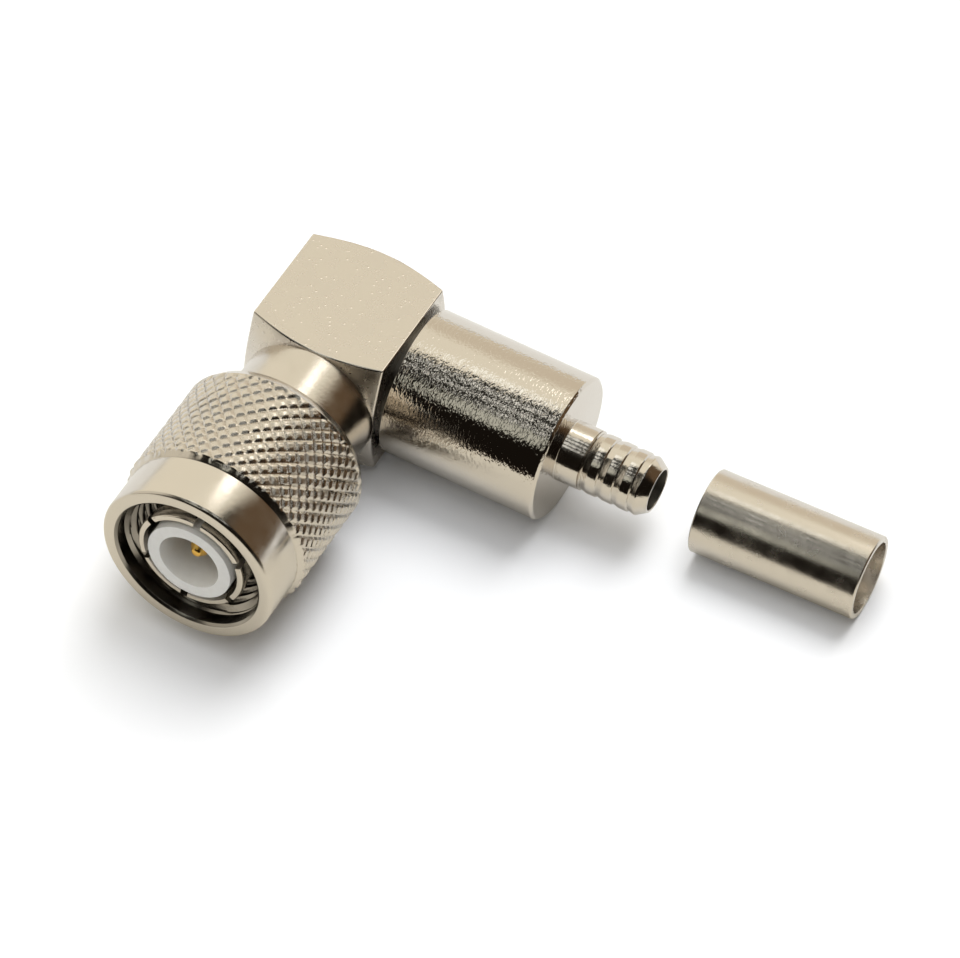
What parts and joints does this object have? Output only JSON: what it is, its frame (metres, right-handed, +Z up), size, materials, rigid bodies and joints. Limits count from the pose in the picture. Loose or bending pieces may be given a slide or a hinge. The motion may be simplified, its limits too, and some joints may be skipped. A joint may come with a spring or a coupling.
{
  "type": "tnc plug",
  "caption": "Right-angle coaxial plug with a knurled coupling nut, a slotted earth contact round a gold pin, a grooved crimp stem and its loose crimp ferrule.",
  "frame": {"origin": "centre of the outer contact's front face, which is the plug's reference plane, on the mating axis", "axes": "+X towards the cable end and the loose ferrule, +Y away from the mating end, +Z up from the bench; the plug leans back 6.55 degrees on its nut, so the mating direction is -Y tipped that much upwards"},
  "size_m": [0.0481, 0.0297, 0.0151],
  "materials": {
    "nickel_plate": "turned brass with a bright, slightly warm nickel plate",
    "ferrule_nickel": "drawn tube, satin nickel plate",
    "gold_plate": "gold plate",
    "ptfe": "machined white fluoropolymer",
    "silicone": "moulded silicone rubber",
    "spring_bronze": "bright spring wire"
  },
  "bodies": {
    "plug": {"elbow_body": "nickel_plate", "cable_entry": "nickel_plate", "rear_cap": "nickel_plate", "cap_insulator": "ptfe", "outer_contact": "nickel_plate", "front_dielectric": "ptfe", "centre_contact": "gold_plate", "interface_gasket": "silicone"},
    "ring": {"retaining_ring": "spring_bronze"},
    "nut": {"coupling_nut": "nickel_plate"},
    "ferrule": {"crimp_ferrule": "ferrule_nickel"}
  },
  "joints": [
    {"name": "nut_float", "type": "slide", "parent": "plug", "child": "ring", "axis": [0, -0.9935, 0.1141], "range_m": [-0.00025, 0.00025]},
    {"name": "nut_spin", "type": "hinge", "parent": "ring", "child": "nut", "pos_m": [0, 0, 0], "axis": [0, -0.9935, 0.1141], "continuous": true},
    {"name": "ferrule_slide", "type": "slide", "parent": "plug", "child": "ferrule", "axis": [-0.7049, -0.4086, 0.5798], "range_m": [0, 0.00383]}
  ]
}
